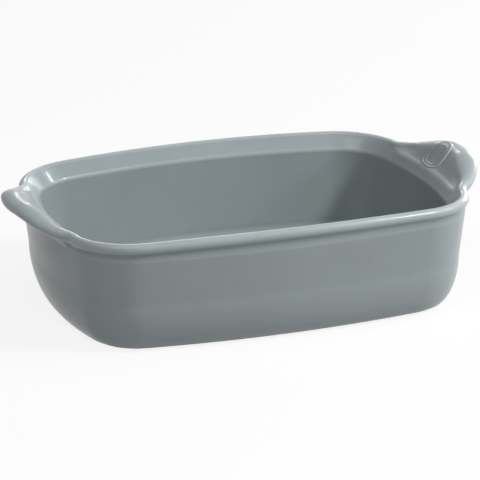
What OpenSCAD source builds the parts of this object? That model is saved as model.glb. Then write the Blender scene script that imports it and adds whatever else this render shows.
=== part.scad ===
// Rectangular stoneware baking dish with two scooped handles, glazed all over
// but for the foot it was fired on. Everything is in millimetres, +Z is up and
// the dish stands on z = 0 with its length along X.
//
// The plan of the dish is a ring of eight arcs that meet tangentially: two
// flat arcs along the sides, two across the ends and four at the corners.
// A place on the ring is given by the angle of its outward normal and by how
// far inside the rim's edge it lies, its inset.

/* [Rim] */
// Length of the rim, handles left out
rim_l = 265.6; // [240:0.2:300]
// Width of the rim
rim_w = 188.8; // [170:0.2:210]
// Height of the rim at the middle of a long side
rim_h = 71.6; // [66:0.2:84]
// How much lower the rim is at the ends than at the middle of a long side
rim_dip = 2.5; // [0:0.1:3.2]
// Radius that the long sides are bowed to
side_bow_r = 628; // [520:1:900]
// Radius that the ends are bowed to
end_bow_r = 235; // [200:1:300]
// Radius of the corners, seen from above
corner_r = 44.5; // [40:0.5:56]
// Radius of the rounded lip
lip_r = 3.3; // [2.6:0.1:3.8]
// Depth of the crease, where the inner wall meets the flare, below the rim
crease_drop = 9; // [7.6:0.1:10]
// Inset of the crease
crease_inset = 12.8; // [11.6:0.1:15]
// How far from the crease its rounding starts
crease_round = 1.5; // [0.5:0.1:2]
// Depth of the seam between wall and rim, below the rim
seam_drop = 13.1; // [12.6:0.1:15]

/* [Wall] */
// Inset of the outer face at the seam
wall_inset = 2.1; // [1.4:0.1:3]
// Inset of the outer face where it starts to curve under the dish
curve_inset = 5.3; // [4:0.1:7]
// Height at which the outer face starts to curve under the dish
curve_z = 31.8; // [26:0.2:38]
// How far the curve reaches in under the dish
curve_reach = 13.8; // [10:0.1:15]
// How far from the edge of the underside its rounding starts
bottom_round = 1.6; // [0.5:0.1:2]
// Inset of the inner face where it starts to curve into the floor
inner_inset = 18; // [16:0.1:19]

/* [Floor] */
// Thickness of the floor
floor_t = 6.3; // [5:0.1:9]
// Height of the curve from the inner wall into the floor
cove_h = 10; // [8:0.5:20]
// How far that curve reaches in over the floor
cove_reach = 10; // [8:0.5:16]

/* [Foot] */
// Height of the foot ring, which is the bare clay under the glazed dish
foot_h = 1.2; // [0.8:0.1:2]
// Width of the foot ring on the table
foot_w = 5.6; // [4:0.1:9]
// Inset of the foot ring's outer edge on the table
foot_inset = 17.8; // [17:0.1:20]
// Rounding of the foot ring's edges
foot_round = 0.5; // [0.2:0.1:0.7]

/* [Handles] */
// How far a handle reaches out past the rim
handle_reach = 18; // [12:0.1:22]
// How far a handle's edge stands above the rim at that end
handle_rise = 9.6; // [5:0.1:12]
// Radius of the hollow where a handle's edge runs into the rim, from above
handle_root_r = 12.4; // [6:0.1:18]
// Space between the end of a handle's root and the start of the corner
handle_margin = 1.4; // [1:0.1:8]
// Half height of the rolled edge of a handle
roll_h = 4; // [3.2:0.1:4.4]
// Half width of the rolled edge of a handle
roll_w = 7.2; // [5:0.1:7.6]
// Inset of the shoulder where the scoop of a handle leaves the flare
shoulder_inset = 7.6; // [6.8:0.1:9]
// Half width of the stretch at the middle of an end where the rise is full
rise_in = 11; // [4:0.2:20]
// Half width within which the rim rises towards a handle
rise_out = 58; // [44:0.2:66]

/* [Medallion] */
// Width of the oval medallion, from the dish towards the handle's edge
oval_w = 16.2; // [12:0.2:17]
// Length of the oval medallion, along the rim
oval_l = 24.8; // [18:0.2:26]
// Distance of its middle from the middle of the handle, towards the back
oval_y = 8.6; // [0:0.2:14]
// How far it is turned, in degrees, its back end outwards
oval_turn = 4; // [0:1:14]
// Height of the medallion's field above the scoop
oval_h = 0.5; // [0.4:0.1:0.8]
// Height of the raised bead round the medallion above the scoop
oval_bead_h = 0.8; // [0.6:0.1:1.4]

/* [Hidden] */

// Slopes, in degrees above level: the flare inside the rim, and the scoop of
// a handle at its shoulder and at its edge
flare_slope = 48;
scoop_root_slope = 18;
scoop_tip_slope = 39;
// How far round under the lip the rounding goes, in degrees below level, on
// the rim and on a handle
lip_under = 50;
handle_under = 60;
// Gap that the glaze fills between the medallion and the scoop
medallion_gap = 0.25;

// Steps in which curves are cut up
end_steps = 1;
corner_steps = 9;
side_steps = 8;
handle_tip_steps = 16;
handle_root_steps = 4;
crease_steps = 3;
bottom_steps = 3;
flare_steps = 2;
scoop_steps = 5;
lip_steps = 8;
neck_steps = 5;
wall_steps = 2;
curve_steps = 8;
cove_steps = 6;
oval_steps = 40;

// Tangent lengths of the smooth curves, as shares of their chord
flare_pull_shares = [0.4, 0.3];
scoop_pull_shares = [0.3, 0.35];
neck_pull_shares = [0.36, 0.36];
// How square the medallion is: 1 is an ellipse, less is squarer
oval_power_share = 0.82;
// Where its middle is, as a share of the way over the scoop
oval_place_share = 0.62;
// Where the blends from flare to scoop and from lip to roll are over, as
// shares of a handle's reach
scoop_blend_share = 0.45;
roll_blend_share = 0.85;

// Heights
seam_z = rim_h - seam_drop;
crease_z = rim_h - crease_drop;
floor_z = foot_h + floor_t;
cove_z = floor_z + cove_h;
// Inset of the seam between the floor and the wall
floor_inset = inner_inset + cove_reach;

// Centres of the arcs of the ring, and the normal's angle where they meet
end_c = [rim_l / 2 - end_bow_r, 0];
side_c = [0, rim_w / 2 - side_bow_r];
corner_c = meet(end_c, end_bow_r - corner_r, side_c, side_bow_r - corner_r);
end_turn = atan2(corner_c.y, corner_c.x - end_c.x);
side_turn = 90 - atan2(corner_c.x, corner_c.y - side_c.y);

// Outline of a handle from above: one wide arc round the tip, and on each
// side a hollow arc that runs into the rim tangentially
root_half = end_bow_r * sin(end_turn) - handle_margin;
root_turn = asin(root_half / end_bow_r);
root_x = end_c.x + end_bow_r * cos(root_turn);
tip_x = rim_l / 2 + handle_reach;
tip_turn = 2 * atan((tip_x - root_x + handle_root_r * (1 - cos(root_turn)))
    / (root_half + handle_root_r * sin(root_turn)));
tip_r = (root_half + handle_root_r * sin(root_turn)) / sin(tip_turn) - handle_root_r;
tip_c = [tip_x - tip_r, 0];
root_c = tip_c + (tip_r + handle_root_r) * [cos(tip_turn), sin(tip_turn)];

// Crossing of two circles, on the side of the first quadrant
function meet(c0, r0, c1, r1) =
    let (d = norm(c1 - c0),
         u = (c1 - c0) / d,
         a = (r0 * r0 - r1 * r1 + d * d) / (2 * d),
         h = sqrt(r0 * r0 - a * a))
    c0 + a * u + h * [-u.y, u.x];

// Point of the ring with the normal's angle turn, inset from the rim's edge
function ring_pt(turn, inset) =
    let (n = [cos(turn), sin(turn)],
         q = atan2(abs(n.y), abs(n.x)),
         c = q < end_turn ? end_c : q > side_turn ? side_c : corner_c,
         r = q < end_turn ? end_bow_r : q > side_turn ? side_bow_r : corner_r)
    [sign(n.x) * c.x, sign(n.y) * c.y] + (r - inset) * n;

function lift(p, z) = [p.x, p.y, z];
function ramp(x) = let (t = min(max(x, 0), 1)) t * t * (3 - 2 * t);
function blend(a, b, t) = a + (b - a) * t;

// Steps from one value to another, without the last
function steps(a, b, n) = [for (i = [0:n - 1]) blend(a, b, i / n)];

// Points of a cubic curve, without the last, from its ends and its tangents
function curve(p0, t0, p1, t1, pull, n) =
    let (d = norm(p1 - p0), a = p0 + pull[0] * d * t0, b = p1 - pull[1] * d * t1)
    [for (t = steps(0, 1, n))
        p0 * pow(1 - t, 3) + 3 * a * t * pow(1 - t, 2) + 3 * b * t * t * (1 - t) + p1 * pow(t, 3)];

// Points, without the last, of the rounding of a corner: from the way in to
// the way out, starting and ending at a distance r from it
function rounding(corner, way_in, way_out, r, n) =
    [for (t = steps(0, 1, n))
        corner - r * pow(1 - t, 2) * way_in + r * t * t * way_out];

// Insets of the outer and inner faces of the wall at a height
outer_lean = (curve_inset - wall_inset) / (seam_z - curve_z);
inner_lean = (inner_inset - crease_inset) / (crease_z - cove_z);
function outer_at(z) = wall_inset + outer_lean * (seam_z - z);
function inner_at(z) = crease_inset + inner_lean * (crease_z - z);

// How far the rim's edge lies below rim_h at a point of the plan: it dips
// towards the ends and rises again round the handles
function dip_at(p) = rim_dip * pow(min(2 * abs(p.x) / rim_l, 1), 2);
function rise_at(p) =
    abs(p.x) < rim_l / 4 ? 0 : handle_rise * ramp((rise_out - abs(p.y)) / (rise_out - rise_in));

// Edge of the right handle: a list of the edge's point and its normal's angle
function handle_edge() = concat(
    [for (a = steps(root_turn, tip_turn, handle_root_steps))
        [[root_c.x, -root_c.y] - handle_root_r * [cos(a), -sin(a)], -a]],
    [for (a = steps(-tip_turn, tip_turn, handle_tip_steps))
        [tip_c + tip_r * [cos(a), sin(a)], a]],
    [for (a = steps(tip_turn, root_turn, handle_root_steps))
        [root_c - handle_root_r * [cos(a), sin(a)], a]],
    [[ring_pt(root_turn, 0), root_turn]]);

// Turns of the ring at which the handle's sections, and the rim's, stand
function handle_turn(edge) = root_turn * edge[0].y / root_half;
handle_turns = [for (e = handle_edge()) handle_turn(e)];
rim_turns = concat(steps(root_turn, end_turn, end_steps),
    steps(end_turn, side_turn, corner_steps),
    steps(side_turn, 180 - side_turn, side_steps),
    steps(180 - side_turn, 180 - end_turn, corner_steps),
    steps(180 - end_turn, 180 - root_turn, end_steps),
    [180 - root_turn]);
ring_turns = concat(but_last(handle_turns), but_last(rim_turns),
    [for (a = but_last(handle_turns)) a + 180], [for (a = but_last(rim_turns)) a + 180]);
function but_last(v) = [for (i = [0:len(v) - 2]) v[i]];

// The curve from the shoulder to the lip, as its two ends and their tangents,
// for the edge point e with the normal's angle nu. The lip is an ellipse that
// is r half wide and h half high.
function scoop_ends(e, nu, turn) =
    let (n = [cos(turn), sin(turn)],
         m = [cos(nu), sin(nu)],
         out = sqrt(pow(end_bow_r, 2) - pow(e.y, 2)) + end_c.x,
         w = max(0, (e.x - out) / handle_reach),
         roll = ramp(w / roll_blend_share),
         r = blend(lip_r, roll_w, roll),
         h = blend(lip_r, roll_h, roll),
         a = 90 + atan(tan(blend(flare_slope, scoop_tip_slope, w)) * r / h),
         s = blend(flare_slope, scoop_root_slope, ramp(w / scoop_blend_share)),
         lip_z = rim_h - h - dip_at(e) + rise_at(e),
         crease = crease_z - dip_at(e),
         z = crease + (inner_at(crease) - shoulder_inset) * tan(flare_slope))
    [lift(ring_pt(turn, shoulder_inset), z), lift(cos(s) * n, sin(s)),
     lip_pt(e, m, r, h, a, lip_z), lip_way(m, r, h, a), [w, r, h, a, lip_z, crease]];

// Point of the lip at the angle a of its ellipse, and the way down the outside
// there
function lip_pt(e, m, r, h, a, z) = lift(e + r * (cos(a) - 1) * m, z + h * sin(a));
function lip_way(m, r, h, a) = lift(r * sin(a) * m, -h * cos(a)) / norm([r * sin(a), h * cos(a)]);

// Section of the rim or a handle, from the seam inside, up the inner wall,
// over the flare or scoop, round the lip and down to the seam outside
function rim_section(e, nu, turn) =
    let (n = [cos(turn), sin(turn)],
         m = [cos(nu), sin(nu)],
         top = scoop_ends(e, nu, turn),
         w = top[4][0],
         r = top[4][1],
         h = top[4][2],
         lip_z = top[4][4],
         crease = lift(ring_pt(turn, inner_at(top[4][5])), top[4][5]),
         up = lift(inner_lean * n, 1) / norm([inner_lean, 1]),
         flare = lift(cos(flare_slope) * n, sin(flare_slope)),
         under = blend(lip_under, handle_under, w),
         foot_n = lift(-outer_lean * n, -1) / norm([outer_lean, 1]))
    concat([lift(ring_pt(turn, inner_at(seam_z)), seam_z)],
        rounding(crease, up, flare, crease_round, crease_steps),
        curve(crease + crease_round * flare, flare, top[0], top[1],
            flare_pull_shares, flare_steps),
        curve(top[0], top[1], top[2], top[3], scoop_pull_shares, scoop_steps),
        [for (a = steps(top[4][3], -under, lip_steps)) lip_pt(e, m, r, h, a, lip_z)],
        curve(lip_pt(e, m, r, h, -under, lip_z), lip_way(m, r, h, -under),
            lift(ring_pt(turn, outer_at(seam_z)), seam_z), foot_n,
            neck_pull_shares, neck_steps),
        [lift(ring_pt(turn, outer_at(seam_z)), seam_z)]);

// Section of the wall, from the seam outside, down and under, to the floor's
// seam and back up the inside, as [inset, height]
curve_end = asin(1 - foot_h / curve_z);
curve_foot = [curve_inset + curve_reach * (1 - cos(curve_end)), foot_h];
curve_way = [curve_reach * sin(curve_end), -curve_z * cos(curve_end)];
curve_stop = curve_end - bottom_round / norm(curve_way) * 180 / PI;
wall_section = concat(
    [for (z = steps(seam_z, curve_z, wall_steps)) [outer_at(z), z]],
    [for (a = steps(0, curve_stop, curve_steps))
        [curve_inset + curve_reach * (1 - cos(a)), curve_z * (1 - sin(a))]],
    rounding(curve_foot, curve_way / norm(curve_way), [1, 0], bottom_round, bottom_steps),
    [curve_foot + [bottom_round, 0], [floor_inset, foot_h]],
    [for (a = steps(90, 0, cove_steps))
        [inner_inset + cove_reach * (1 - cos(a)), cove_z - cove_h * sin(a)]],
    [for (z = steps(cove_z, seam_z, wall_steps)) [inner_at(z), z]],
    [[inner_at(seam_z), seam_z]]);

// Section of the foot ring, with rounded edges on the table
foot_section = [
    [foot_inset - foot_round, foot_h],
    [foot_inset - foot_round / 2, foot_round / 2],
    [foot_inset, 0],
    [foot_inset + foot_w, 0],
    [foot_inset + foot_w + foot_round / 2, foot_round / 2],
    [foot_inset + foot_w + foot_round, foot_h]];

function sweep_points(section, turns) =
    [for (a = turns) [for (p = section) lift(ring_pt(a, p[0]), p[1])]];

// A solid through closed sections with as many points each. It closes on
// itself as a ring, or has a flat cap at each end.
module loft(sections, ring) {
    n = len(sections);
    m = len(sections[0]);
    last = ring ? n - 1 : n - 2;
    sides = [for (i = [0:last]) for (j = [0:m - 1])
        let (a = i * m, b = (i + 1) % n * m, k = (j + 1) % m)
        each [[a + j, b + j, b + k], [a + j, b + k, a + k]]];
    caps = ring ? [] : [[for (j = [0:m - 1]) j], [for (j = [m - 1:-1:0]) (n - 1) * m + j]];
    polyhedron([for (s = sections) each s], concat(sides, caps));
}

module rim_half() {
    loft([for (a = rim_turns) rim_section(ring_pt(a, 0), a, a)], false);
}

module handle() {
    loft([for (e = handle_edge()) rim_section(e[0], e[1], handle_turn(e))], false);
}

module floor() {
    color([0.50, 0.54, 0.55])
        translate([0, 0, foot_h])
            linear_extrude(floor_t)
                polygon([for (a = ring_turns) ring_pt(a, floor_inset)]);
}

module wall() {
    color([0.46, 0.50, 0.51]) loft(sweep_points(wall_section, ring_turns), true);
}

module foot_ring() {
    color([0.72, 0.62, 0.50]) loft(sweep_points(foot_section, ring_turns), true);
}

module front_rim() {
    color([0.56, 0.60, 0.61]) rotate([0, 0, 180]) rim_half();
}

module back_rim() {
    color([0.56, 0.60, 0.61]) rim_half();
}

module left_handle() {
    color([0.52, 0.56, 0.57]) rotate([0, 0, 180]) handle();
}

module right_handle() {
    color([0.52, 0.56, 0.57]) handle();
}

// A point on the scoop of the right handle, y along the rim and t from the
// shoulder, 0, to the lip, 1, and on over the lip at the same pace, with a
// height above the surface
function scoop_pt(y, t, height) =
    let (nu = asin(y / tip_r),
         m = [cos(nu), sin(nu)],
         e = tip_c + tip_r * m,
         s = scoop_ends(e, nu, root_turn * y / root_half),
         r = s[4][1],
         h = s[4][2],
         d = norm(s[2] - s[0]),
         pace = 3 * scoop_pull_shares[1] * d / norm([r * sin(s[4][3]), h * cos(s[4][3])]),
         over = s[4][3] - max(t - 1, 0) * pace * 180 / PI,
         a = s[0] + scoop_pull_shares[0] * d * s[1],
         b = s[2] - scoop_pull_shares[1] * d * s[3],
         p = t > 1 ? lip_pt(e, m, r, h, over, s[4][4])
             : s[0] * pow(1 - t, 3) + 3 * a * t * pow(1 - t, 2) + 3 * b * t * t * (1 - t)
                 + s[2] * pow(t, 3),
         v = t > 1 ? lip_way(m, r, h, over)
             : (a - s[0]) * pow(1 - t, 2) + 2 * (b - a) * t * (1 - t) + (s[2] - b) * t * t)
    p + height * [-v.z, 0, v.x] / norm([v.x, v.z]);

// Steps across the medallion, from its middle outwards: the share of its size
// and whether the bead is there, 1, or the field, 0
oval_ring_shares = [0.30, 0.62, 0.65, 0.71, 0.75, 0.86, 0.90, 0.97, 1.00];
oval_bead_shares = [0, 0, 1, 1, 0, 0, 1, 1, 0];
scoop_x = [for (k = [0, 2]) scoop_ends([tip_x, 0], 0, 0)[k].x];

// Point of the medallion at a share of its size and an angle round it
function oval_pt(share, turn, h) =
    let (u = share * oval_w / 2 * sign(cos(turn)) * pow(abs(cos(turn)), oval_power_share),
         v = share * oval_l / 2 * sign(sin(turn)) * pow(abs(sin(turn)), oval_power_share))
    scoop_pt(oval_y + v * cos(oval_turn) - u * sin(oval_turn),
        oval_place_share + (u * cos(oval_turn) + v * sin(oval_turn)) / (scoop_x[1] - scoop_x[0]),
        h);

module handle_medallion() {
    n = oval_steps;
    m = len(oval_ring_shares);
    over = [for (i = [0:m - 1])
        [oval_ring_shares[i], blend(oval_h, oval_bead_h, oval_bead_shares[i])]];
    under = [for (i = [m - 1:-1:0]) [oval_ring_shares[i], medallion_gap]];
    rings = [for (p = concat(over, under)) for (i = [0:n - 1])
        oval_pt(p[0], 360 * i / n, p[1])];
    middles = [oval_pt(0, 0, oval_h), oval_pt(0, 0, medallion_gap)];
    last = (2 * m - 1) * n;
    color([0.58, 0.62, 0.63])
        polyhedron(concat(rings, middles),
            concat(
                [for (j = [0:2 * m - 2]) for (i = [0:n - 1])
                    let (a = j * n, b = a + n, k = (i + 1) % n)
                    each [[a + i, b + k, b + i], [a + i, a + k, b + k]]],
                [for (i = [0:n - 1]) [2 * m * n, (i + 1) % n, i]],
                [for (i = [0:n - 1]) [2 * m * n + 1, last + i, last + (i + 1) % n]]));
}

floor();
wall();
foot_ring();
front_rim();
back_rim();
left_handle();
right_handle();
handle_medallion();
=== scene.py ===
import bpy
import numpy as np
from mathutils import Matrix, Vector


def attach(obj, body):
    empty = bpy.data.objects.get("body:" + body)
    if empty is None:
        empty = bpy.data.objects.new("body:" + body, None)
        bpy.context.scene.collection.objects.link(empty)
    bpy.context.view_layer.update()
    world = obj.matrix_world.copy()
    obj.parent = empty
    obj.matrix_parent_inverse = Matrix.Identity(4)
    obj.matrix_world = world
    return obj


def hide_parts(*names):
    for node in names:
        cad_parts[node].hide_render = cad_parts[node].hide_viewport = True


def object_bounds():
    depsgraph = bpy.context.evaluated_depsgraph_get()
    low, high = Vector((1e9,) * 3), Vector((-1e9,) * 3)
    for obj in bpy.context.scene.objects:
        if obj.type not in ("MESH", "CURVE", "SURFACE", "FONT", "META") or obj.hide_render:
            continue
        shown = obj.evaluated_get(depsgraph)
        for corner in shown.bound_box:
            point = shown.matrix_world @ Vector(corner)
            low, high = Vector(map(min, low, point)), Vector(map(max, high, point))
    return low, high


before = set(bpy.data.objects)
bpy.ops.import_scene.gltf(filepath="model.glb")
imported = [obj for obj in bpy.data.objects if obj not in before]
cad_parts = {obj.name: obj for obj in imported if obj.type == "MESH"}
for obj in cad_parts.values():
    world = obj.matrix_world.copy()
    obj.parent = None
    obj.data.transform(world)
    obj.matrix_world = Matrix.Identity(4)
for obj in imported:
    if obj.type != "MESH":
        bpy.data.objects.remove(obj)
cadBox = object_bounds()
mm = 0.001
print("frame loaded, nodes:", ", ".join(sorted(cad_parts)))

# All shapes below are worked out in millimetres and angles in degrees, and
# become metres when their mesh is made. A "column" is one vertical section
# through the dish, and a "row" is one line that runs right round it.


def deg(angle):
    return np.radians(angle)


def unit(angle):   # unit vectors in the plan, (cos a, sin a)
    return np.stack([np.cos(angle), np.sin(angle)], -1)


def blend(a, b, t):
    return a + (b - a) * t


def ramp(x):   # 3t^2 - 2t^3, with t the value held between 0 and 1
    t = np.clip(x, 0, 1)
    return t * t * (3 - 2 * t)


def steps(a, b, count):   # even steps from a to b, without b
    return np.linspace(a, b, count, endpoint=False)


def lift(flat, height):   # points of the plan with a height each
    return np.concatenate([flat, np.broadcast_to(height, flat.shape[:-1])[..., None]], -1)


def normalise(v):
    return v / np.maximum(np.linalg.norm(v, axis=-1, keepdims=True), 1e-12)


# Plan of the rim: eight arcs that meet tangentially
plan = {
    "rimLength": 265.6,   # without the handles
    "rimWidth": 188.8,
    "sideBow": 628.0,     # radius of the long sides
    "endBow": 235.0,      # radius of the ends
    "corner": 44.5,       # radius of the corners
}

endC = np.array([plan["rimLength"] / 2 - plan["endBow"], 0.0])
sideC = np.array([0.0, plan["rimWidth"] / 2 - plan["sideBow"]])


def meet(c0, r0, c1, r1):   # crossing of two circles, on the side of the first quadrant
    gap = np.linalg.norm(c1 - c0)
    along = (c1 - c0) / gap
    near = (r0 * r0 - r1 * r1 + gap * gap) / (2 * gap)
    off = np.sqrt(r0 * r0 - near * near)
    return c0 + near * along + off * np.array([-along[1], along[0]])


cornerC = meet(endC, plan["endBow"] - plan["corner"], sideC, plan["sideBow"] - plan["corner"])
endTurn = np.arctan2(cornerC[1], cornerC[0] - endC[0])
sideTurn = np.pi / 2 - np.arctan2(cornerC[0], cornerC[1] - sideC[1])


# Place on the ring: the centre of the arc that the turn falls on, plus the
# arc's radius less the inset, along the outward normal
def ringPoint(turn, inset):
    n = unit(turn)
    q = np.arctan2(np.abs(n[..., 1]), np.abs(n[..., 0]))
    atEnd, atSide = q < endTurn, q > sideTurn
    cx = np.where(atEnd, endC[0], np.where(atSide, sideC[0], cornerC[0]))
    cy = np.where(atEnd, endC[1], np.where(atSide, sideC[1], cornerC[1]))
    r = np.where(atEnd, plan["endBow"], np.where(atSide, plan["sideBow"], plan["corner"])) - inset
    return np.stack([np.sign(n[..., 0]) * cx + r * n[..., 0],
                     np.sign(n[..., 1]) * cy + r * n[..., 1]], -1)


# Outline of a handle from above: a wide arc round the tip, and a hollow arc
# at each root that runs into the rim tangentially
handle = {
    "reach": 18.0,        # past the rim
    "rise": 9.6,          # of the edge, above the rim at that end
    "rootRadius": 12.4,   # of the hollow arcs
    "margin": 1.4,        # from the root to the start of the corner
    "riseIn": 11.0,       # half width over which the rise is full
    "riseOut": 58.0,      # half width within which the rim rises
    "tipColumns": 64,
    "rootColumns": 16,
}

rootHalf = plan["endBow"] * np.sin(endTurn) - handle["margin"]
rootTurn = np.arcsin(rootHalf / plan["endBow"])
tipX = plan["rimLength"] / 2 + handle["reach"]
rootX = endC[0] + plan["endBow"] * np.cos(rootTurn)
rootSpan = rootHalf + handle["rootRadius"] * np.sin(rootTurn)
tipTurn = 2 * np.arctan((tipX - rootX + handle["rootRadius"] * (1 - np.cos(rootTurn))) / rootSpan)
tipR = rootSpan / np.sin(tipTurn) - handle["rootRadius"]
tipC = np.array([tipX - tipR, 0.0])
rootC = tipC + (tipR + handle["rootRadius"]) * unit(tipTurn)


# Edge of the right handle: its points, the angle of its normal there and the
# turn of the ring that each column stands at
def handleEdge():
    into = steps(rootTurn, tipTurn, handle["rootColumns"])
    tip = steps(-tipTurn, tipTurn, handle["tipColumns"])
    out = steps(tipTurn, rootTurn, handle["rootColumns"])
    edge = np.concatenate([
        rootC * [1, -1] - handle["rootRadius"] * unit(into) * [1, -1],
        tipC + tipR * unit(tip),
        rootC - handle["rootRadius"] * unit(out)])
    return edge, np.concatenate([-into, tip, out]), rootTurn * edge[:, 1] / rootHalf


# Turns of the columns of the back rim, from the right handle to the left one
rimColumns = {"end": 2, "corner": 30, "side": 40}


def rimTurns():
    return np.concatenate([
        steps(rootTurn, endTurn, rimColumns["end"]),
        steps(endTurn, sideTurn, rimColumns["corner"]),
        steps(sideTurn, np.pi - sideTurn, rimColumns["side"]),
        steps(np.pi - sideTurn, np.pi - endTurn, rimColumns["corner"]),
        steps(np.pi - endTurn, np.pi - rootTurn, rimColumns["end"])])


# All columns round the dish: right handle, back rim, left handle, front rim
handlePoints, handleNormals, handleTurns = handleEdge()
backTurns = rimTurns()
backEdge = ringPoint(backTurns, 0 * backTurns)
edge = np.concatenate([handlePoints, backEdge, -handlePoints, -backEdge])
edgeTurn = np.concatenate([handleNormals, backTurns, handleNormals + np.pi, backTurns + np.pi])
turn = np.concatenate([handleTurns, backTurns, handleTurns + np.pi, backTurns + np.pi])
columnCount = len(turn)
handleCount, rimCount = len(handleTurns), len(backTurns)
columnsOf = {
    "right_handle": (0, handleCount),
    "back_rim": (handleCount, handleCount + rimCount),
    "left_handle": (handleCount + rimCount, 2 * handleCount + rimCount),
    "front_rim": (2 * handleCount + rimCount, columnCount),
}
print("plan ready:", columnCount, "columns")

# Section of the rim, and what changes towards the edge of a handle
rim = {
    "height": 71.6,
    "dip": 2.5,            # lower by this at the ends than at the middle of a side
    "lip": 3.3,            # radius of the rounded lip
    "handleLip": 4.0,      # height of half the handle's roll
    "handleRoll": 7.2,     # width of half the handle's roll
    "lipUnder": 50.0,      # how far round under the lip the rounding goes
    "handleUnder": 60.0,
    "flareSlope": 48.0,    # of the band inside the rim
    "rootSlope": 18.0,     # of the scoop where it leaves the flare
    "tipSlope": 39.0,      # of the scoop at the edge of the handle
    "scoopBlend": 0.45,    # share of the reach in which flare turns into scoop
    "rollBlend": 0.85,     # share of the reach in which lip turns into roll
    "creaseDrop": 9.0,     # below the rim
    "creaseInset": 12.8,
    "creaseRound": 1.5,    # glaze and clay round the crease off by this much
    "shoulderInset": 7.6,
    "seamDrop": 13.1,
    "flarePull": (0.4, 0.3),
    "scoopPull": (0.3, 0.35),
    "neckPull": (0.36, 0.36),
    "rows": {"low": 2, "crease": 8, "flare": 5, "scoop": 16, "lip": 18, "neck": 12},
}
# Section of the wall, from the seam down
wall = {
    "inset": 2.1,          # of the outer face at the seam
    "curveInset": 5.3,     # of the outer face where it curves under the dish
    "curveHeight": 31.8,
    "curveReach": 13.8,
    "innerInset": 18.0,    # of the inner face where it curves into the floor
    "coveHeight": 10.0,
    "coveReach": 10.0,
    "floor": 6.3,          # thickness
    "foot": 1.2,           # height
    "bottomRound": 1.6,    # rounding between the curve and the underside
    "rows": {"upright": 8, "curve": 22, "cove": 20, "bottom": 5},
}

seamZ = rim["height"] - rim["seamDrop"]
creaseZ = rim["height"] - rim["creaseDrop"]
floorZ = wall["foot"] + wall["floor"]
coveZ = floorZ + wall["coveHeight"]
floorInset = wall["innerInset"] + wall["coveReach"]
outerLean = (wall["curveInset"] - wall["inset"]) / (seamZ - wall["curveHeight"])
innerLean = (wall["innerInset"] - rim["creaseInset"]) / (creaseZ - coveZ)


def outerAt(z):   # inset of the outer face, which leans in a little downwards
    return wall["inset"] + outerLean * (seamZ - z)


def innerAt(z):   # inset of the inner face, which leans the same way
    return rim["creaseInset"] + innerLean * (creaseZ - z)


# The rim dips with the square of the way from the middle of a side, and
# rises again by a smooth ramp towards the middle of each handle
def dipAt(p):
    return rim["dip"] * np.minimum(2 * np.abs(p[..., 0]) / plan["rimLength"], 1) ** 2


def riseAt(p):
    near = (handle["riseOut"] - np.abs(p[..., 1])) / (handle["riseOut"] - handle["riseIn"])
    return handle["rise"] * ramp(near)


# Both ends of the curve from the shoulder to the lip with their tangents, the
# lip's two radii, start angle and height, the crease's height and the share of
# the handle's reach. The lip is an ellipse, r cos a wide and h sin a high.
def scoopEnds(e, nu, turn):
    n, m = unit(turn), unit(nu)
    rimX = np.sqrt(plan["endBow"] ** 2 - e[..., 1] ** 2) + endC[0]
    w = np.maximum(0, (np.abs(e[..., 0]) - rimX) / handle["reach"])
    roll = ramp(w / rim["rollBlend"])
    r = blend(rim["lip"], rim["handleRoll"], roll)
    h = blend(rim["lip"], rim["handleLip"], roll)
    a = np.pi / 2 + np.arctan(np.tan(deg(blend(rim["flareSlope"], rim["tipSlope"], w))) * r / h)
    s = deg(blend(rim["flareSlope"], rim["rootSlope"], ramp(w / rim["scoopBlend"])))
    lipZ = rim["height"] - h - dipAt(e) + riseAt(e)
    crease = creaseZ - dipAt(e)
    z = crease + (innerAt(crease) - rim["shoulderInset"]) * np.tan(deg(rim["flareSlope"]))
    start = lift(ringPoint(turn, rim["shoulderInset"]), z)
    startWay = lift(np.cos(s)[..., None] * n, np.sin(s))
    end = lift(e + (r * np.cos(a) - r)[..., None] * m, lipZ + h * np.sin(a))
    endWay = normalise(lift((r * np.sin(a))[..., None] * m, -h * np.cos(a)))
    return start, startWay, end, endWay, (r, h), a, lipZ, crease, w


# Cubic curve through p0 and p1 with the tangents t0 and t1, each pulled by a
# share of the chord: (1-t)^3 p0 + 3t(1-t)^2 a + 3t^2(1-t) b + t^3 p1
def cubic(p0, t0, p1, t1, pull, t):
    chord = np.linalg.norm(p1 - p0, axis=-1, keepdims=True)
    a, b = p0 + pull[0] * chord * t0, p1 - pull[1] * chord * t1
    return p0 * (1 - t) ** 3 + 3 * a * t * (1 - t) ** 2 + 3 * b * t * t * (1 - t) + p1 * t ** 3


def curveRows(p0, t0, p1, t1, pull, count):
    t = steps(0, 1, count)[None, :, None]
    return cubic(p0[:, None], t0[:, None], p1[:, None], t1[:, None], pull, t)


# Curve from a to c that rounds the corner b: (1-t)^2 a + 2t(1-t) b + t^2 c
def roundCorner(a, b, c, t):
    return a * (1 - t) ** 2 + 2 * b * t * (1 - t) + c * t * t


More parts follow.
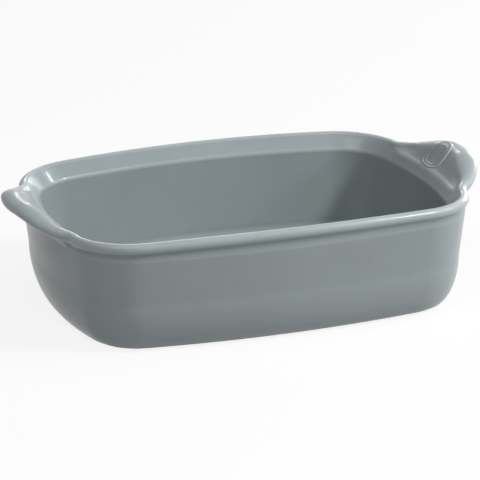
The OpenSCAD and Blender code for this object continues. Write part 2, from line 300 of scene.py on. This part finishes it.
# Rows of the rim, from the seam inside, up over the flare or scoop, round the
# lip and down the neck to the seam outside
def rimRows():
    rows = rim["rows"]
    n, m = unit(turn), unit(edgeTurn)
    start, startWay, end, endWay, (r, h), a, lipZ, crease, w = scoopEnds(edge, edgeTurn, turn)
    flare = deg(rim["flareSlope"])
    corner = lift(ringPoint(turn, innerAt(crease)), crease)
    up = normalise(lift(innerLean * n, 1.0))
    flareWay = lift(np.cos(flare) * n, np.sin(flare))
    low = lift(ringPoint(turn, innerAt(seamZ) + 0 * turn), seamZ)
    before, after = corner - rim["creaseRound"] * up, corner + rim["creaseRound"] * flareWay
    t = steps(0, 1, rows["crease"])[None, :, None]
    bend = roundCorner(before[:, None], corner[:, None], after[:, None], t)
    under = deg(blend(rim["lipUnder"], rim["handleUnder"], w))
    angle = a[:, None] - (a + under)[:, None] * steps(0, 1, rows["lip"])
    lip = lift(edge[:, None] + (r[:, None] * (np.cos(angle) - 1))[..., None] * m[:, None],
               lipZ[:, None] + h[:, None] * np.sin(angle))
    neckStart = lift(edge + (r * (np.cos(under) - 1))[:, None] * m, lipZ - h * np.sin(under))
    neckWay = normalise(lift(-(r * np.sin(under))[:, None] * m, -h * np.cos(under)))
    seam = lift(ringPoint(turn, outerAt(seamZ) + 0 * turn), seamZ)
    down = normalise(lift(-outerLean * n, -1.0))
    return np.concatenate([
        blend(low[:, None], before[:, None], steps(0, 1, rows["low"])[None, :, None]),
        bend,
        curveRows(after, flareWay, start, startWay, rim["flarePull"], rows["flare"]),
        curveRows(start, startWay, end, endWay, rim["scoopPull"], rows["scoop"]),
        lip,
        curveRows(neckStart, neckWay, seam, down, rim["neckPull"], rows["neck"]),
        seam[:, None]], 1)


def sweep(profile):   # a profile of insets and heights, carried round the ring
    inset, z = np.array(profile).T
    return lift(ringPoint(turn[:, None] + 0 * inset, inset[None, :] + 0 * turn[:, None]),
                z[None, :] + 0 * turn[:, None])


# Inside of the wall: a quarter of an ellipse up from the floor, then upright
def innerProfile():
    a = steps(np.pi / 2, 0, wall["rows"]["cove"])
    cove = np.stack([wall["innerInset"] + wall["coveReach"] * (1 - np.cos(a)),
                     coveZ - wall["coveHeight"] * np.sin(a)], -1)
    z = np.linspace(coveZ, seamZ, wall["rows"]["upright"] + 1)
    return np.concatenate([cove, np.stack([innerAt(z), z], -1)])


# Outside of the wall: upright, then most of a quarter of an ellipse, rounded
# off where it meets the underside
def outerProfile():
    z = steps(seamZ, wall["curveHeight"], wall["rows"]["upright"])
    last = np.arcsin(1 - wall["foot"] / wall["curveHeight"])
    meetAt = np.array([wall["curveInset"] + wall["curveReach"] * (1 - np.cos(last)), wall["foot"]])
    slope = np.array([wall["curveReach"] * np.sin(last), -wall["curveHeight"] * np.cos(last)])
    stop = last - wall["bottomRound"] / np.hypot(*slope)
    a = steps(0, stop, wall["rows"]["curve"])
    curve = np.stack([wall["curveInset"] + wall["curveReach"] * (1 - np.cos(a)),
                      wall["curveHeight"] * (1 - np.sin(a))], -1)
    t = np.linspace(0, 1, wall["rows"]["bottom"] + 1)[:, None]
    above = meetAt - wall["bottomRound"] * normalise(slope)
    bottom = roundCorner(above, meetAt, meetAt + np.array([wall["bottomRound"], 0]), t)
    return np.concatenate([np.stack([outerAt(z), z], -1), curve, bottom])


inner, lipRows, outer = sweep(innerProfile()), rimRows(), sweep(outerProfile())
skin = np.concatenate([inner[:, :-1], lipRows[:, :-1], outer], 1)
seamInRow = inner.shape[1] - 1
seamOutRow = seamInRow + lipRows.shape[1] - 1
rowCount = skin.shape[1]


# Outward normals of a grid that closes round in its columns: the cross
# product of the steps along a row and along a column. The first row lies
# level with the floor and the last with the underside.
def skinNormals(grid):
    along = np.roll(grid, -1, 0) - np.roll(grid, 1, 0)
    across = np.gradient(grid, axis=1)
    return normalise(np.cross(along, -across))


skinN = skinNormals(skin)
skinN[:, 0] = [0, 0, 1]
skinN[:, -1] = [0, 0, -1]


# Bend of the skin: the change of the normal along a step over the step's own
# square, summed over both ways. Rounded edges are above 0, hollows below.
def skinBend(grid, n):
    total = 0
    for stepP, stepN in (
            (np.roll(grid, -1, 0) - np.roll(grid, 1, 0), np.roll(n, -1, 0) - np.roll(n, 1, 0)),
            (np.gradient(grid, axis=1), np.gradient(n, axis=1))):
        total = total + (stepP * stepN).sum(-1) / np.maximum((stepP ** 2).sum(-1), 1e-9)
    return total


skinB = skinBend(skin, skinN)
print("skin ready:", columnCount, "by", rowCount, "points")


# A patch of a piece: a grid of points with its normals and the bend there
def patch(points, normals, bend=0.0):
    normals = np.asarray(normals, float)
    if normals.ndim == 2:   # one normal for each column
        normals = normals[:, None]
    return points, np.broadcast_to(normals, points.shape), np.broadcast_to(bend, points.shape[:-1])


def skinPatch(firstColumn, lastColumn, firstRow, lastRow):   # both ends are part of it
    columns = np.arange(firstColumn, lastColumn + 1) % columnCount
    rows = np.arange(firstRow, lastRow + 1)
    pick = np.ix_(columns, rows)
    return patch(skin[pick], skinN[pick], skinB[pick])


def closeRound(points):   # the first column once more at the end
    return np.concatenate([points, points[:1]])


def bridge(a, b):   # a strip from one line of points to another
    return np.stack([a, b], 1)


weldDigits = 5   # decimals of a millimetre to which points agree that become one


# Makes one closed mesh: the grids' cells become faces, points that coincide
# become one, and each corner keeps the normal of its own patch, so that the
# skin runs on smoothly from piece to piece
def makeMesh(name, patches, caps=(), within=cadBox):
    points, bends, corners, cornerNormals, sizes = [], [], [], [], []
    base = 0
    for grid, normals, bend in patches:
        count, rows = grid.shape[:2]
        i, j = np.meshgrid(np.arange(count - 1), np.arange(rows - 1), indexing="ij")
        quads = np.stack([i * rows + j, i * rows + j + 1, (i + 1) * rows + j + 1,
                          (i + 1) * rows + j], -1).reshape(-1, 4)
        corners.append((quads + base).ravel())
        cornerNormals.append(normals.reshape(-1, 3)[quads.ravel()])
        sizes.append(np.full(len(quads), 4))
        points.append(grid.reshape(-1, 3))
        bends.append(bend.ravel())
        base += grid.shape[0] * rows
    for loop, normal in caps:
        corners.append(np.arange(len(loop)) + base)
        cornerNormals.append(np.broadcast_to(normal, loop.shape))
        sizes.append(np.array([len(loop)]))
        points.append(loop)
        bends.append(np.zeros(len(loop)))
        base += len(loop)
    points, bends = np.concatenate(points), np.concatenate(bends)
    if within:     # a round tip may pass the model's box by a tenth of a millimetre
        points = np.clip(points, *(np.array(corner) / mm for corner in within))
    corners, cornerNormals = np.concatenate(corners), np.concatenate(cornerNormals)
    sizes = np.concatenate(sizes)
    kept, first, same = np.unique(np.round(points, weldDigits), axis=0, return_index=True,
                                  return_inverse=True)
    strongest = np.zeros(len(kept))
    same = same.ravel()
    np.maximum.at(strongest, same, bends)
    weakest = np.zeros(len(kept))
    np.minimum.at(weakest, same, bends)
    corners = same[corners]
    # a corner that repeats the one before it closes up, as at a pole
    face = np.repeat(np.arange(len(sizes)), sizes)
    starts = np.concatenate([[0], np.cumsum(sizes)[:-1]])
    before = np.arange(len(corners)) - 1
    before[starts] = starts + sizes - 1
    keep = corners != corners[before]
    corners, cornerNormals, face = corners[keep], cornerNormals[keep], face[keep]
    sizes = np.bincount(face, minlength=len(sizes))
    live = sizes >= 3
    keep = live[face]
    corners, cornerNormals = corners[keep], cornerNormals[keep]
    sizes = sizes[live]
    mesh = bpy.data.meshes.new(name)
    mesh.vertices.add(len(kept))
    mesh.vertices.foreach_set("co", (points[first] * mm).ravel())
    mesh.loops.add(len(corners))
    mesh.loops.foreach_set("vertex_index", corners)
    mesh.polygons.add(len(sizes))
    mesh.polygons.foreach_set("loop_start", np.concatenate([[0], np.cumsum(sizes)[:-1]]))
    mesh.polygons.foreach_set("use_smooth", np.ones(len(sizes), bool))
    mesh.update(calc_edges=True)
    mesh.validate()
    mesh.normals_split_custom_set(cornerNormals)
    # the bend, which the glaze turns into painted highlight on rounded edges and painted shade in
    # hollows
    bendData = mesh.attributes.new("glazeBend", "FLOAT", "POINT")
    bendData.data.foreach_set("value", strongest + weakest)
    piece = bpy.data.objects.new(name, mesh)
    bpy.context.collection.objects.link(piece)
    return piece


# Shader maths: a wire is one socket, and an expression on wires adds its nodes
class Wire:
    def __init__(self, tree, socket=None):
        self.tree = tree
        self.socket = socket

    # any node: its type, its settings, and the values or wires of its sockets
    def node(self, kind, settings=None, inputs=None, out=0):
        made = self.tree.nodes.new(kind)
        for key, value in (settings or {}).items():
            setattr(made, key, value)
        for key, value in (inputs or {}).items():
            if isinstance(value, Wire):
                self.tree.links.new(value.socket, made.inputs[key])
            else:
                made.inputs[key].default_value = value
        return Wire(self.tree, made.outputs[out]) if made.outputs else None

    def maths(self, operation, *values):
        return self.node("ShaderNodeMath", {"operation": operation}, dict(enumerate(values)))

    def __add__(self, other):
        return self.maths("ADD", self, other)

    def __sub__(self, other):
        return self.maths("SUBTRACT", self, other)

    def __rsub__(self, other):
        return self.maths("SUBTRACT", other, self)

    def __mul__(self, other):
        return self.maths("MULTIPLY", self, other)

    __radd__ = __add__
    __rmul__ = __mul__

    def clamp(self):
        return self.node("ShaderNodeClamp", {}, {"Value": self})

    def cut(self, contrast, threshold):   # a noise made harder, between 0 and 1
        return (self * contrast - threshold).clamp()

    def mix(self, a, b):   # from colour a to colour b by this wire
        return self.node("ShaderNodeMix", {"data_type": "RGBA"},
                         {"Factor": self, 6: a, 7: b}, out=2)


def newMaterial(name):
    material = bpy.data.materials.new(name)
    material.use_nodes = True
    material.node_tree.nodes.clear()
    return material, Wire(material.node_tree)


def noise(wire, size, detail, roughness):   # about 0.5, in spots of this many millimetres
    where = wire.node("ShaderNodeTexCoord", out="Object")
    return wire.node("ShaderNodeTexNoise", {}, {
        "Vector": where, "Scale": 1 / (size * mm), "Detail": detail, "Roughness": roughness})


# Blue-grey glaze: warmer over rounded edges where it runs thin, and lighter there as a
# painted highlight; darker in hollows as painted shade; with a faint mottle and the slight ripple
# of a fired glaze
glazeLook = {
    "colour": (0.211, 0.240, 0.247, 1),
    # warmer colour of thin glaze on rounded edges, made lighter as a painted highlight
    "thinGlazeAndHighlight": (0.285, 0.318, 0.318, 1),
    # colour of the painted shade in hollows, and of the glaze's dark specks
    "hollowShadeAndSpeck": (0.168, 0.205, 0.216, 1),
    "mottle": (0.192, 0.220, 0.227, 1),
    "edgeBend": 0.30,      # of a lip, per millimetre
    "hollowBend": 0.12,
    "highlightVaries": (0.55, 0.6),     # least share, and what the blotches add
    "shadeVaries": (0.4, 0.6),
    "highlightShare": 0.7,      # how far a rounded edge turns to the thin-glaze colour with its painted highlight
    "grainShare": 0.175,   # how far a dark grain turns to the colour of the painted hollow shade
    "roughness": 0.29,     # kept above 0.25, below which a hard edge showed in the gloss
    "roughnessVaries": 0.06,
    "bending": 1.27,       # index of refraction
    "ripple": 0.05,        # millimetres high
    "peel": 0.012,
    "coat": 0.1,
    "coatRoughness": 0.05,
    "coatBending": 1.5,
    # noises: size in millimetres, detail and roughness
    "blotchNoise": (38, 3.0, 0.55),
    "grainNoise": (1.6, 3.0, 0.6),
    "rippleNoise": (22, 1.0, 0.4),
    "peelNoise": (2.4, 1.0, 0.5),
    # cuts: contrast and threshold
    "grainCut": (6, 3.4),
    "mottleCut": (1.6, 0.5),
}


def makeGlaze():
    look = glazeLook
    material, wire = newMaterial("glaze")
    bend = wire.node("ShaderNodeAttribute", {"attribute_name": "glazeBend"}, out="Fac")
    blotch = noise(wire, *look["blotchNoise"])
    grain = noise(wire, *look["grainNoise"])

    def uneven(share, least, more):   # a share of the bend, broken up by the blotches
        return (share.clamp() * (least + more * blotch)).clamp()

    # rounded edges: warmer thin glaze, and lighter as a painted highlight
    thinGlazeAndHighlight = uneven(bend * (1 / look["edgeBend"]), *look["highlightVaries"])
    # hollows: darker, as painted shade
    hollowShade = uneven(bend * (-1 / look["hollowBend"]), *look["shadeVaries"])
    colour = blotch.cut(*look["mottleCut"]).mix(look["mottle"], look["colour"])
    colour = hollowShade.mix(colour, look["hollowShadeAndSpeck"])
    colour = (thinGlazeAndHighlight * look["highlightShare"]).mix(colour, look["thinGlazeAndHighlight"])
    # dark specks of the glaze, in the same colour as the painted hollow shade
    speck = grain.cut(*look["grainCut"]) * look["grainShare"]
    colour = speck.mix(colour, look["hollowShadeAndSpeck"])
    rough = look["roughness"] + look["roughnessVaries"] * (blotch - 0.5)
    ripple = wire.node("ShaderNodeBump", {}, {
        "Height": noise(wire, *look["rippleNoise"]), "Distance": look["ripple"] * mm,
        "Strength": 1.0})
    peel = wire.node("ShaderNodeBump", {}, {
        "Height": noise(wire, *look["peelNoise"]), "Distance": look["peel"] * mm,
        "Strength": 1.0, "Normal": ripple})
    body = wire.node("ShaderNodeBsdfPrincipled", {}, {
        "Base Color": colour, "Roughness": rough, "Normal": peel, "IOR": look["bending"],
        "Coat Weight": look["coat"], "Coat Roughness": look["coatRoughness"],
        "Coat IOR": look["coatBending"]})
    wire.node("ShaderNodeOutputMaterial", {}, {"Surface": body})
    return material


# Bare buff stoneware of the foot: fired clay with iron specks and a fine grain
clayLook = {
    "colour": (0.52, 0.40, 0.28, 1),
    "worn": (0.40, 0.30, 0.21, 1),
    "speck": (0.16, 0.10, 0.06, 1),
    "roughness": 0.85,
    "roughnessVaries": 0.1,
    "grain": 0.06,         # millimetres high
    "grainStrength": 0.8,
    # noises: size in millimetres, detail and roughness
    "blotchNoise": (14, 4.0, 0.6),
    "grainNoise": (0.7, 2.0, 0.6),
    "speckNoise": (1.3, 1.0, 0.5),
    # cuts: contrast and threshold
    "blotchCut": (1.8, 0.4),
    "speckCut": (9, 5.8),
}


def makeClay():
    look = clayLook
    material, wire = newMaterial("bareClay")
    blotch = noise(wire, *look["blotchNoise"])
    fine = noise(wire, *look["grainNoise"])
    speck = noise(wire, *look["speckNoise"]).cut(*look["speckCut"])
    colour = blotch.cut(*look["blotchCut"]).mix(look["worn"], look["colour"])
    colour = speck.mix(colour, look["speck"])
    grain = wire.node("ShaderNodeBump", {}, {
        "Height": fine, "Distance": look["grain"] * mm, "Strength": look["grainStrength"]})
    rough = look["roughness"] + look["roughnessVaries"] * (fine - 0.5)
    body = wire.node("ShaderNodeBsdfPrincipled", {}, {
        "Base Color": colour, "Roughness": rough, "Normal": grain})
    wire.node("ShaderNodeOutputMaterial", {}, {"Surface": body})
    return material


glaze, bareClay = makeGlaze(), makeClay()
print("materials ready")


def finishPiece(piece, material, slot, *nodes):
    piece.data.materials.append(material)
    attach(piece, "root")
    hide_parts(*nodes)
    print("made", piece.name, "with", len(piece.data.polygons), "faces")


# A rim or handle: its skin, the seam face below it and a flat cap at each end
def makeRimPiece(name, node):
    first, last = columnsOf[node]
    body = skinPatch(first, last, seamInRow, seamOutRow)
    seam = patch(bridge(body[0][:, -1], body[0][:, 0]), [0, 0, -1])
    ends = []
    for column, way in ((0, -1), (-1, 1)):
        loop = body[0][column]
        across = unit(turn[(first if column == 0 else last) % columnCount])
        normal = way * np.array([-across[1], across[0], 0])
        ends.append((loop[::-1] if way < 0 else loop, normal))
    finishPiece(makeMesh(name, [body, seam], ends), glaze, "glaze", node)


makeRimPiece("glazedFrontRim", "front_rim")
makeRimPiece("glazedBackRim", "back_rim")
makeRimPiece("glazedLeftHandle", "left_handle")
makeRimPiece("glazedRightHandle", "right_handle")


# The wall: its inner and outer skin, the seam face above, the underside and
# the upright face that meets the floor
def makeWall():
    inside = skinPatch(0, columnCount, 0, seamInRow)
    outside = skinPatch(0, columnCount, seamOutRow, rowCount - 1)
    bottomIn = lift(ringPoint(turn, floorInset + 0 * turn), wall["foot"])
    underside = closeRound(bottomIn)
    finishPiece(makeMesh("glazedWall", [
        inside,
        patch(bridge(inside[0][:, -1], outside[0][:, 0]), [0, 0, 1]),
        outside,
        patch(bridge(outside[0][:, -1], underside), [0, 0, -1]),
        patch(bridge(underside, inside[0][:, 0]), -lift(unit(closeRound(turn)), 0.0)),
    ]), glaze, "glaze", "wall")


# The floor: a disc whose rings shrink from the seam to the middle
floorRings = 16


def makeFloor():
    share = np.linspace(1, 0, floorRings)[None, :, None]
    top = closeRound(skin[:, :1]) * share
    top[..., 2] = floorZ
    bottom = top[:, ::-1].copy()
    bottom[..., 2] = wall["foot"]
    side = patch(bridge(top[:, 0], bottom[:, -1]), lift(unit(closeRound(turn)), 0.0))
    finishPiece(makeMesh("glazedFloor", [
        patch(top[:, ::-1], [0, 0, 1]), patch(bottom[:, ::-1], [0, 0, -1]), side]),
        glaze, "glaze", "floor")


# The foot ring: a low ridge with both edges on the table rounded
foot = {
    "inset": 17.8,
    "width": 5.6,
    "round": 0.5,
    "knee": 0.6,           # share of the rounding by which its corner is outside the inset
    "rows": 7,
}


def makeFoot():
    t = np.linspace(0, 1, foot["rows"])[:, None]
    start = np.array([foot["inset"] - foot["round"], wall["foot"]])
    knee = np.array([foot["inset"] - foot["knee"] * foot["round"], 0])
    flat = np.array([foot["inset"] + (1 - foot["knee"]) * foot["round"], 0])
    outside = roundCorner(start, knee, flat, t)
    middle = foot["inset"] + foot["width"] / 2
    inside = outside[::-1] * [-1, 1] + [2 * middle, 0]
    rows = np.concatenate([outside, inside])
    ring = closeRound(sweep(rows))
    slope = np.gradient(rows, axis=0)
    out = normalise(np.stack([slope[:, 1], slope[:, 0]], -1))
    n = closeRound(unit(turn))[:, None]
    normals = lift(-out[None, :, :1] * n, -out[None, :, 1] + 0 * n[..., 0])
    finishPiece(makeMesh("bareFootRing", [
        patch(ring, normals), patch(bridge(ring[:, -1], ring[:, 0]), [0, 0, 1])]),
        bareClay, "bare_clay", "foot_ring")


makeWall()
makeFloor()
makeFoot()

# The oval badge on the scoop of the right handle, with two raised borders
badge = {
    "width": 16.2,         # from the dish towards the edge of the handle
    "length": 24.8,        # along the rim
    "along": 8.6,          # from the middle of the handle, towards the back
    "turned": 4.0,
    "square": 0.82,        # 1 is an ellipse, less is squarer
    "placeShare": 0.62,    # of the way over the scoop
    "field": 0.42,         # heights above the scoop
    "bead": 0.76,
    "sunk": -0.6,
    # shares of the badge's size
    "edge": (1.02, 0.07),  # where the plate ends, and over what share it falls
    "beads": ((0.915, 0.055, 1.0), (0.70, 0.05, 0.9)),   # place, half width, share of height
    "skirt": 0.03,         # past the edge, where it goes down into the scoop
    "edgeBend": 6.0,       # of the glaze's bend, which paints highlight on the beads' edges and shade between them, for each millimetre that a row's step changes by
    "columns": 96,
    "rows": 44,
}


# Place on the scoop of the right handle: y along the rim, t over the scoop
# from the shoulder, 0, to the lip, 1, and on over the lip at the same pace.
# The height is square to the section.
def scoopPoint(y, t, height):
    nu = np.arcsin(y / tipR)
    e, m = tipC + tipR * unit(nu), unit(nu)
    start, startWay, end, endWay, (r, h), a, lipZ = scoopEnds(e, nu, rootTurn * y / rootHalf)[:7]
    chord = np.linalg.norm(end - start, axis=-1)
    pace = 3 * rim["scoopPull"][1] * chord / np.hypot(r * np.sin(a), h * np.cos(a))
    a = a - np.maximum(t - 1, 0) * pace
    over = lift(e + (r * (np.cos(a) - 1))[..., None] * m, lipZ + h * np.sin(a))
    overWay = lift((r * np.sin(a))[..., None] * m, -h * np.cos(a))
    small = 1e-3
    t = np.minimum(t, 1)[..., None]
    p = cubic(start, startWay, end, endWay, rim["scoopPull"], t)
    v = p - cubic(start, startWay, end, endWay, rim["scoopPull"], t - small)
    v = np.where(t < 1, v, overWay)
    normal = normalise(v[..., [2, 1, 0]] * [-1, 0, 1])
    return np.where(t < 1, p, over) + height[..., None] * normal


# Height across the badge by the share s of its size: a plate with a rounded
# edge, and two beads that are smooth humps
def badgeHeight(s):
    end, fall = badge["edge"]
    plate = badge["field"] * ramp((end - s) / fall)
    humps = sum(tall * ramp(1 - np.abs(s - place) / half) for place, half, tall in badge["beads"])
    return plate + (badge["bead"] - badge["field"]) * humps


def makeBadge():
    angle = np.linspace(0, 2 * np.pi, badge["columns"] + 1)[:, None]
    share = np.linspace(0, 1 + badge["skirt"], badge["rows"])[None, :]
    start, _, end = scoopEnds(np.array([tipX, 0.0]), np.array(0.0), np.array(0.0))[:3]
    span = end[0] - start[0]

    def squarer(wave):   # the ellipse's wave to the power that makes it squarer
        return np.sign(wave) * np.abs(wave) ** badge["square"]

    u0 = badge["width"] / 2 * squarer(np.cos(angle))
    v0 = badge["length"] / 2 * squarer(np.sin(angle))
    c, s = np.cos(deg(badge["turned"])), np.sin(deg(badge["turned"]))

    def place(size, height):
        u, v = size * u0, size * v0
        return scoopPoint(badge["along"] + v * c - u * s,
                          badge["placeShare"] + (u * c + v * s) / span,
                          height + 0 * u)

    skirt = blend(0, badge["sunk"], (share - 1.0) / badge["skirt"])
    height = np.where(share > 1.0, skirt, badgeHeight(share))
    top = place(share, height)
    top[-1] = top[0]
    base = place(share[:, [-1, 0]], np.full((1, 2), badge["sunk"]))
    base[-1] = base[0]
    along = np.concatenate([top[1:2] - top[-2:-1], top[2:] - top[:-2], top[1:2] - top[-2:-1]])
    normals = np.cross(np.gradient(top, axis=1), along)
    normals[:, 0] = normals[:, 1].mean(0)
    normals = normalise(normals)
    down = -normals[0, 0]
    # the bend that the glaze turns into painted highlight on the beads and painted shade between
    # them
    bend = np.gradient(np.gradient(height[0])) * -badge["edgeBend"]
    finishPiece(makeMesh("raisedBadge", [
        patch(top, normals, bend), patch(base, down)]), glaze, "glaze", "handle_medallion")


makeBadge()

# Camera at the photograph's viewing angle
view = {
    "azimuth": -20.0387,
    "elevation": 18.9393,
    "distance": 2.03443,   # metres, as the target is
    "target": (0.015708, 0.047738, 0.017254),
    "roll": 0.20666,
    "lens": 241.58,        # millimetres, as the sensor is
    "sensor": 36,
    "farthest": 50,        # metres
}


def makeCamera():
    az, el, roll = (deg(view[key]) for key in ("azimuth", "elevation", "roll"))
    back = Vector((np.sin(az) * np.cos(el), -np.cos(az) * np.cos(el), np.sin(el)))
    side = Vector((0, 0, 1)).cross(back).normalized()
    top = back.cross(side)
    right = side * np.cos(roll) - top * np.sin(roll)
    up = side * np.sin(roll) + top * np.cos(roll)
    data = bpy.data.cameras.new("viewCamera")
    data.lens = view["lens"]
    data.sensor_width = view["sensor"]
    data.clip_end = view["farthest"]
    camera = bpy.data.objects.new("viewCamera", data)
    camera.matrix_world = Matrix((right, up, back)).transposed().to_4x4()
    camera.location = Vector(view["target"]) + back * view["distance"]
    bpy.context.collection.objects.link(camera)
    bpy.context.scene.camera = camera


makeCamera()

# Soft boxes, each aimed at the dish: place and size in metres, power in watts
softBoxes = {
    "keyRight": {"place": (1.06, -0.85, 1.22), "size": (0.36, 0.36), "power": 29},
    "sideRight": {"place": (1.56, -0.42, 0.83), "size": (0.3, 0.3), "power": 11},
    "highRight": {"place": (1.38, 0.05, 1.21), "size": (0.18, 0.18), "power": 8},
    "topLeft": {"place": (-0.72, -0.64, 1.57), "size": (0.9, 0.9), "power": 15.5},
    "front": {"place": (-0.26, -1.47, 1.05), "size": (0.4, 0.5), "power": 3.5},
    "back": {"place": (0.50, 1.61, 0.66), "size": (0.25, 0.25), "power": 2},
    "backRight": {"place": (1.35, 1.13, 0.41), "size": (0.9, 0.7), "power": 10},
}
aim = Vector((0, 0, 0.04))


def makeLights():
    for name, box in softBoxes.items():
        data = bpy.data.lights.new(name, "AREA")
        data.shape = "RECTANGLE"
        data.size, data.size_y = box["size"]
        data.energy = box["power"]
        lamp = bpy.data.objects.new(name, data)
        lamp.location = box["place"]
        lamp.rotation_euler = (lamp.location - aim).to_track_quat("Z", "Y").to_euler()
        bpy.context.collection.objects.link(lamp)


# The floor is pale, and reaches past the picture on all sides. The camera and
# reflections see most of it and of the backdrop as white, and the rest of the
# floor takes the shadow.
surround = {
    "ambient": 0.05,
    "floor": (0.6, 0.6, 0.6, 1),
    "floorSize": 60.0,     # metres, half
    "floorBelow": 0.3,     # millimetres under the foot ring
    "white": 0.86,
}


def seenDirectly(wire):
    seen = [wire.node("ShaderNodeLightPath", out=ray)
            for ray in ("Is Camera Ray", "Is Glossy Ray", "Is Transmission Ray")]
    return (seen[0] + seen[1] + seen[2]).clamp()


def makeWorld():
    world = bpy.data.worlds.new("studio")
    world.use_nodes = True
    world.node_tree.nodes.clear()
    wire = Wire(world.node_tree)
    share = seenDirectly(wire) * surround["white"]
    light = wire.node("ShaderNodeBackground", {}, {
        "Color": (1, 1, 1, 1), "Strength": share + (1 - share) * surround["ambient"]})
    wire.node("ShaderNodeOutputWorld", {}, {"Surface": light})
    bpy.context.scene.world = world


def makeTable():
    half = surround["floorSize"] / mm
    z = -surround["floorBelow"]
    corners = np.array([[[-half, -half, z], [-half, half, z]], [[half, -half, z], [half, half, z]]])
    table = makeMesh("paleTable", [patch(corners[:, ::-1], [0, 0, 1])], within=None)
    material, wire = newMaterial("paleTable")
    matt = wire.node("ShaderNodeBsdfDiffuse", {}, {"Color": surround["floor"]})
    bright = wire.node("ShaderNodeEmission", {}, {"Color": (1, 1, 1, 1), "Strength": 1.0})
    share = seenDirectly(wire) * surround["white"]
    both = wire.node("ShaderNodeMixShader", {}, {0: share, 1: matt, 2: bright})
    wire.node("ShaderNodeOutputMaterial", {}, {"Surface": both})
    table.data.materials.append(material)


makeLights()
makeWorld()
makeTable()
bpy.context.scene.view_settings.view_transform = "Standard"
print("camera, lights and surroundings ready")
